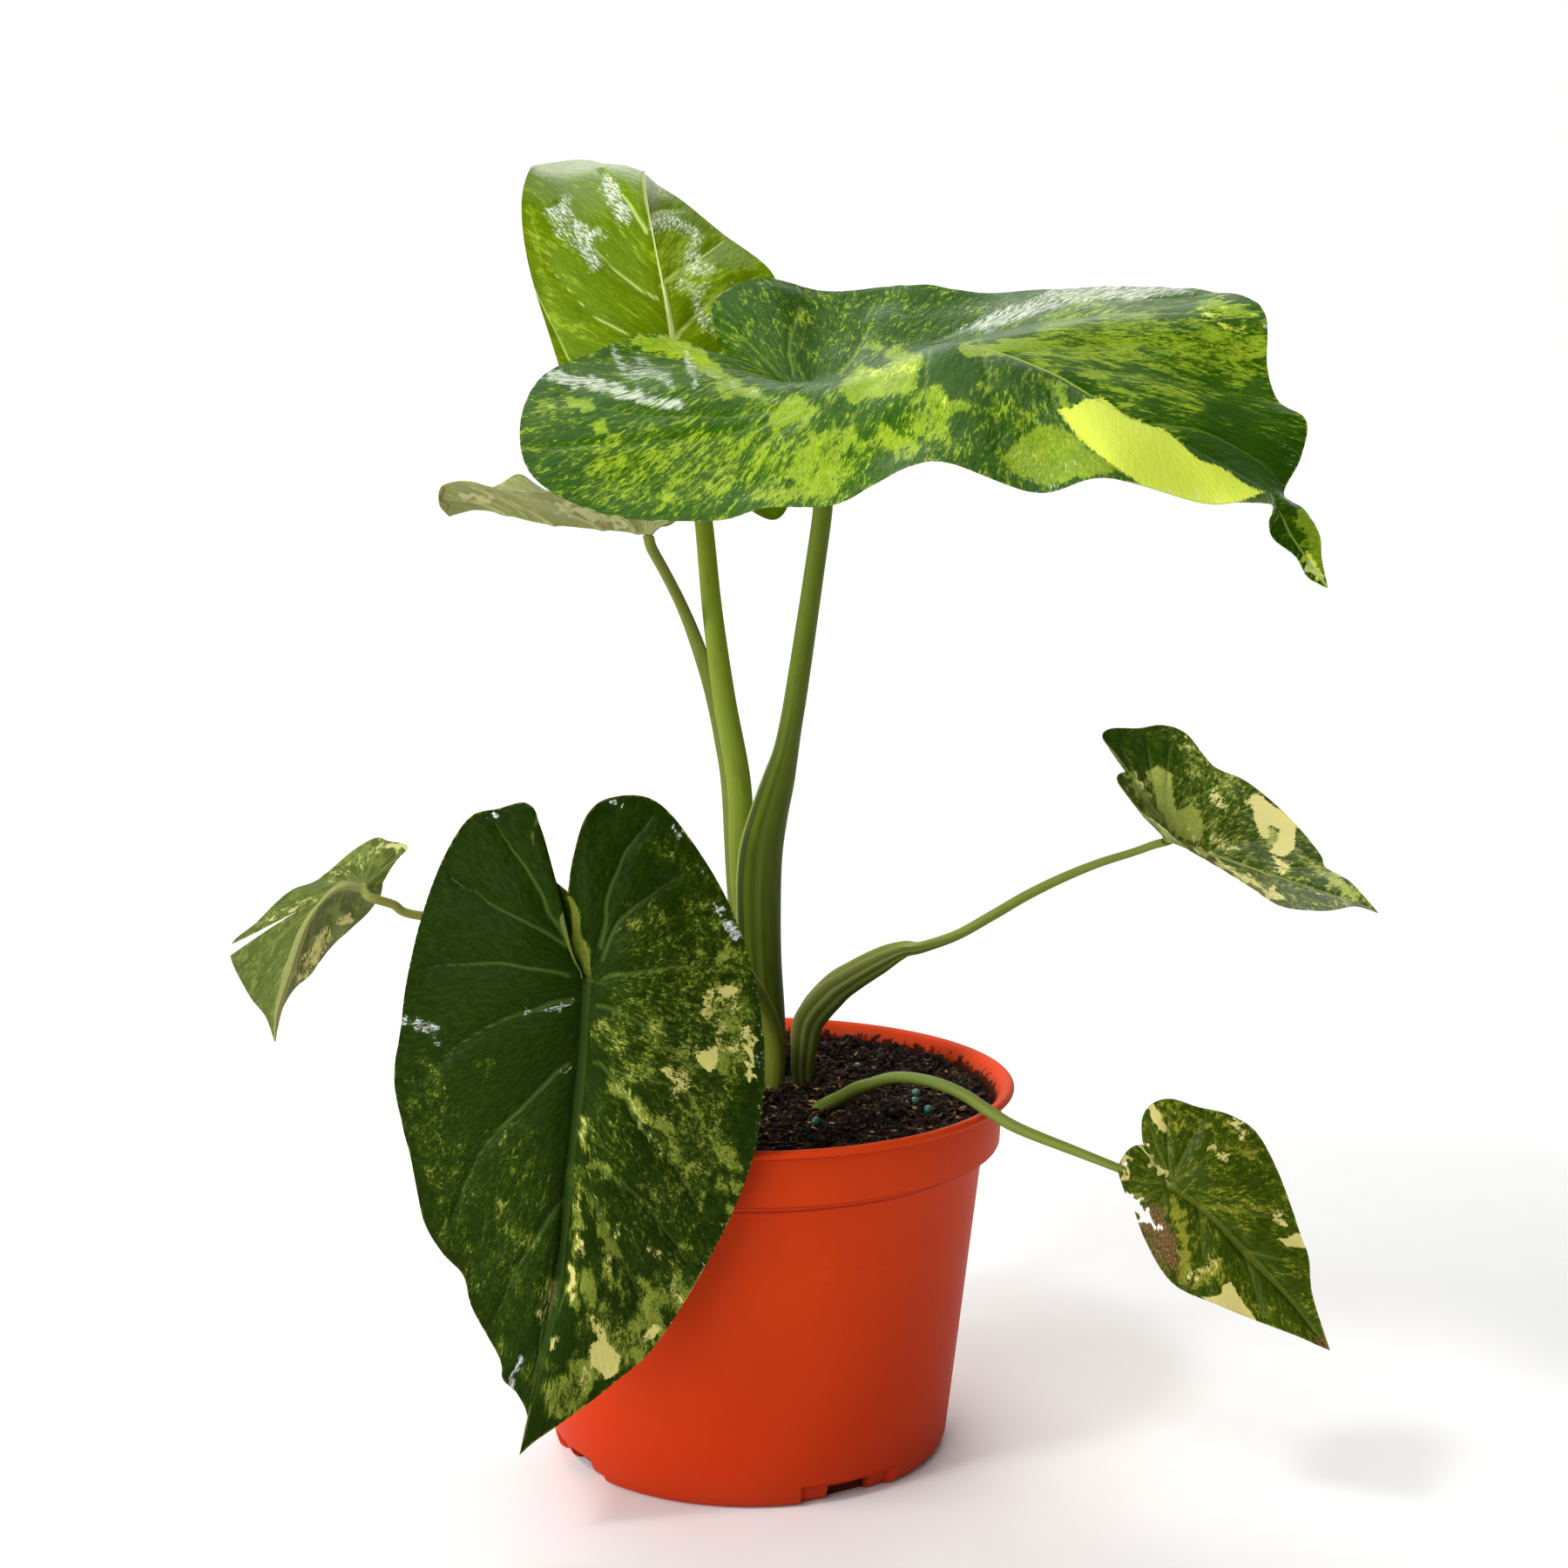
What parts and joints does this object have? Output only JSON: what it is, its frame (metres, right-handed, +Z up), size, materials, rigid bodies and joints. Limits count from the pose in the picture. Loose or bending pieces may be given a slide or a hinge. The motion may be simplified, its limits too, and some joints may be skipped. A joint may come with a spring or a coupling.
{
  "type": "potted plant",
  "caption": "Young heart-leaved climbing plant with marbled green and cream blades on sheathed leaf stalks, rooted in dark soil in a round tapered orange-red nursery pot with a collar and lip.",
  "frame": {"origin": "middle of the pot's flat underside", "axes": "+Z up along the pot's axis; +Y away from the viewer of the picture; +X to the viewer's right"},
  "size_m": [0.3561, 0.2426, 0.4206],
  "materials": {
    "pot_plastic": "orange-red moulded plastic, satin, slightly scuffed",
    "potting_soil": "damp dark potting mix with coir crumbs and fibres",
    "crown_bark": "short stem at soil level, green-brown, matt",
    "leaf_green": "waxy living leaf, dark green marbled with lime and cream",
    "stem_green": "smooth light olive-green leaf stalk",
    "prill_coating": "teal-green coated fertiliser bead"
  },
  "bodies": {
    "root": {"pot": "pot_plastic", "soil": "potting_soil", "crown": "crown_bark", "leaf_front": "leaf_green", "leaf_top": "leaf_green", "leaf_back": "leaf_green", "leaf_left": "leaf_green", "leaf_low_left": "leaf_green", "leaf_right": "leaf_green", "leaf_low_right": "leaf_green", "petiole_top": "stem_green", "petiole_back": "stem_green", "petiole_left": "stem_green", "petiole_front": "stem_green", "petiole_low_left": "stem_green", "petiole_right": "stem_green", "petiole_low_right": "stem_green", "prill_1": "prill_coating", "prill_2": "prill_coating", "prill_3": "prill_coating", "prill_4": "prill_coating", "prill_5": "prill_coating"}
  },
  "joints": []
}
